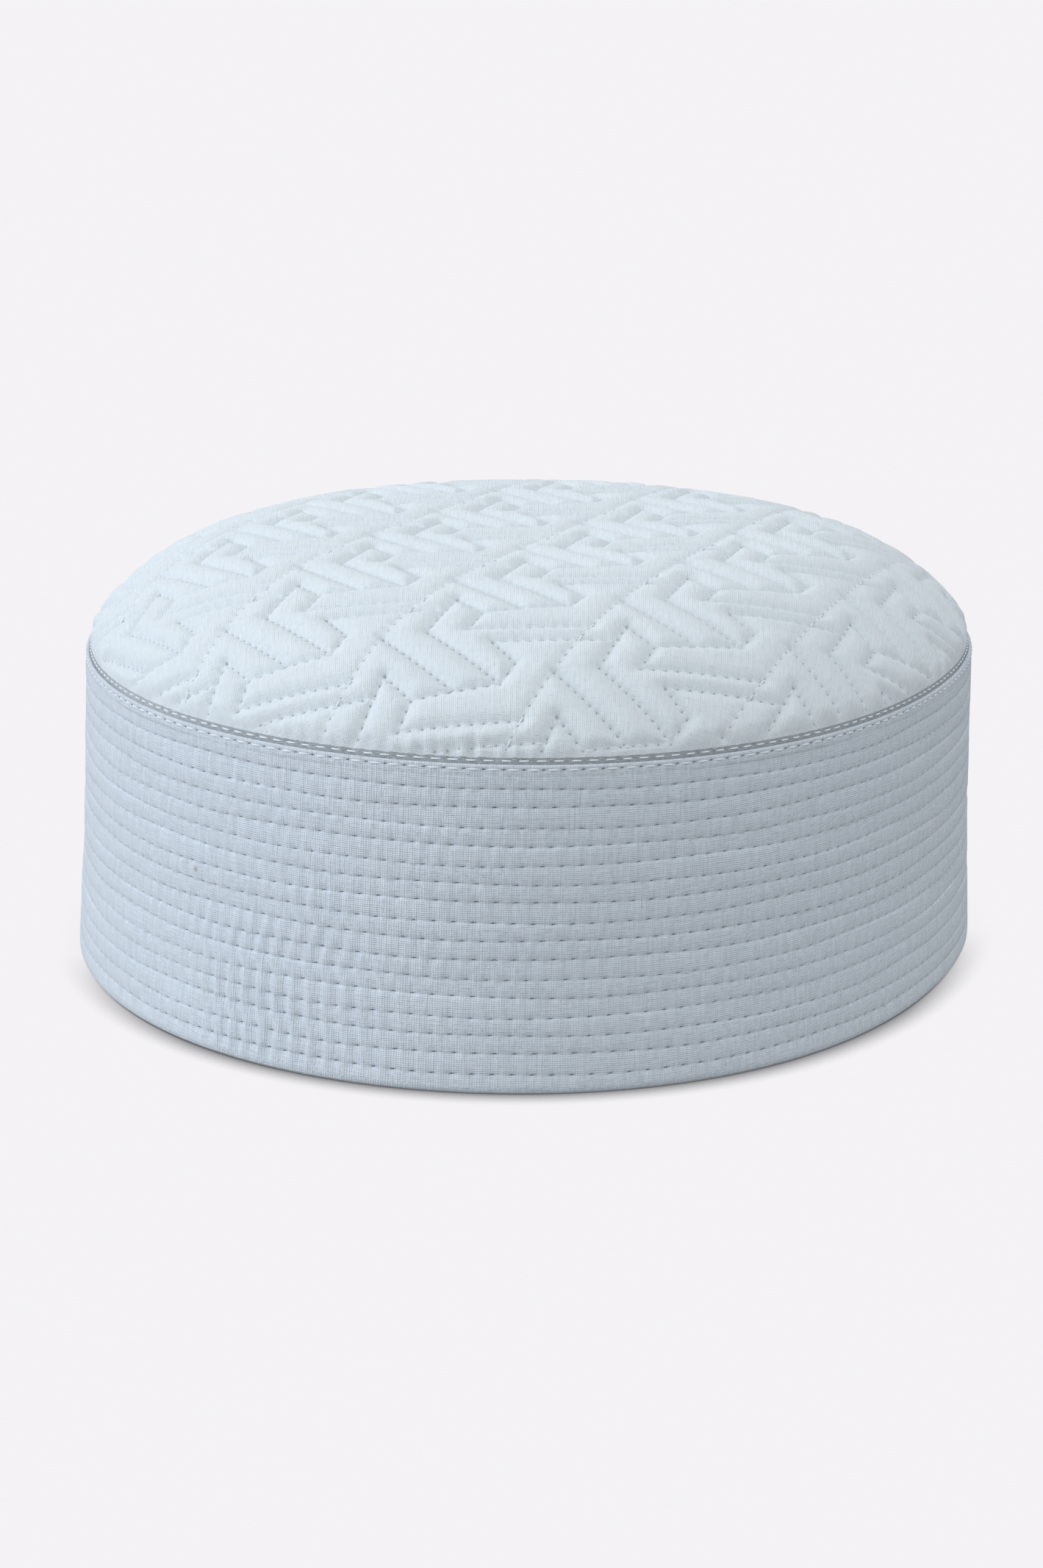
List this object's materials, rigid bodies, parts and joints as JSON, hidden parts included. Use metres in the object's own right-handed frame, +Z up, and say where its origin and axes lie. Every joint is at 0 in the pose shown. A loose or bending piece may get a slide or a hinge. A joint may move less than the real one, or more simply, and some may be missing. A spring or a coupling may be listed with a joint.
{
  "type": "quilted prayer cap",
  "caption": "Round brimless cloth cap: a stiff upright band stitched in level rows, with a padded crown quilted in a bent-strip lattice tucked inside its top.",
  "frame": {"origin": "centre of the footprint, on the surface that the cap rests on", "axes": "+Z up, +Y to the back of the head along the cap's longer way, +X to the wearer's left"},
  "size_m": [0.1766, 0.2036, 0.0822],
  "materials": {
    "band_cloth": "fine plain-woven white cotton in several layers, faint sheen, rows of white thread",
    "crown_cloth": "matt white cotton over thin wadding, quilted with white thread"
  },
  "bodies": {
    "root": {"band": "band_cloth", "crown": "crown_cloth"}
  },
  "joints": []
}
